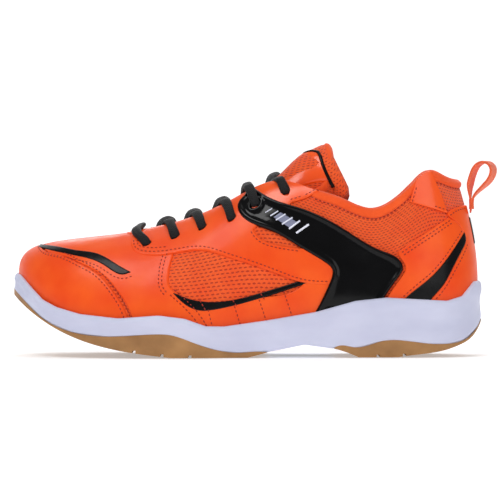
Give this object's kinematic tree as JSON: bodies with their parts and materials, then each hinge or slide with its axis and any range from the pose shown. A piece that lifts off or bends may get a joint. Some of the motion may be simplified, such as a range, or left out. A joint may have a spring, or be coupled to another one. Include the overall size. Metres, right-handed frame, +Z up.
{
  "type": "court shoe",
  "caption": "Low-cut left court shoe: orange mesh and synthetic upper, black side cage, laced throat, padded tongue, white cup midsole and gum rubber outsole.",
  "frame": {"origin": "on the ground under the middle of the whole shoe's length and width", "axes": "-X towards the toe, +X towards the heel, -Y towards the outer (lateral) side, +Z up from the ground"},
  "size_m": [0.298, 0.1065, 0.1294],
  "materials": {
    "midsole_foam": "moulded matt foam",
    "gum_rubber": "satin gum rubber",
    "shank_plastic": "moulded",
    "board_fibre": "needled board",
    "sockliner_foam": "knit over foam",
    "counter_board": "thermoplastic sheet",
    "backing_web": "woven tape",
    "padding_foam": "open-cell foam",
    "lining_knit": "brushed knit",
    "orange_mesh": "spacer mesh",
    "orange_synthetic": "gloss coated synthetic leather",
    "black_synthetic": "gloss coated synthetic leather",
    "patch_synthetic": "gloss film",
    "black_tpu": "high gloss",
    "black_lace": "braided",
    "orange_webbing": "woven webbing"
  },
  "bodies": {
    "shoe": {"backstay": "orange_synthetic", "cage_lateral": "black_tpu", "cage_medial": "black_tpu", "collar_foam": "padding_foam", "collar_lining": "lining_knit", "collar_rim": "orange_synthetic", "crescent_lateral": "black_synthetic", "crescent_medial": "black_synthetic", "eyestay_lateral": "orange_synthetic", "eyestay_lining_lateral": "lining_knit", "eyestay_lining_medial": "lining_knit", "eyestay_medial": "orange_synthetic", "eyestay_reinforcement_lateral": "backing_web", "eyestay_reinforcement_medial": "backing_web", "heel_accent_lateral": "black_synthetic", "heel_accent_medial": "black_synthetic", "heel_band_lateral": "orange_synthetic", "heel_band_medial": "orange_synthetic", "heel_counter": "counter_board", "heel_lining": "lining_knit", "heel_patch_lateral": "patch_synthetic", "heel_patch_medial": "patch_synthetic", "lace": "black_lace", "mesh_upper": "orange_mesh", "midsole": "midsole_foam", "outsole_forefoot": "gum_rubber", "outsole_heel": "gum_rubber", "pull_loop_anchor": "orange_webbing", "quarter_padding_lateral": "padding_foam", "quarter_padding_medial": "padding_foam", "quarter_panel_lateral": "orange_synthetic", "quarter_panel_medial": "orange_synthetic", "shank_plate": "shank_plastic", "sockliner": "sockliner_foam", "strobel_board": "board_fibre", "toe_accent_lateral": "black_synthetic", "toe_accent_medial": "black_synthetic", "toe_cap": "orange_synthetic", "toe_puff": "counter_board", "top_eyelet_patch_lateral": "patch_synthetic", "top_eyelet_patch_medial": "patch_synthetic", "vamp_lining": "lining_knit", "vamp_panel": "orange_synthetic"},
    "tongue": {"tongue_face": "orange_mesh", "tongue_foam": "padding_foam", "tongue_label": "patch_synthetic", "tongue_lining": "lining_knit"},
    "pull_loop": {"pull_loop": "orange_webbing"}
  },
  "joints": [
    {"name": "tongue_fold", "type": "hinge", "parent": "shoe", "child": "tongue", "pos_m": [-0.084, 0, 0.066], "axis": [0, 1, 0], "range_deg": [0, 8], "stiffness_Nm_per_rad": 0.02},
    {"name": "pull_loop_bend", "type": "hinge", "parent": "shoe", "child": "pull_loop", "pos_m": [0.135, 0, 0.0972], "axis": [0, 1, 0], "range_deg": [0, 50], "stiffness_Nm_per_rad": 0.0008}
  ]
}
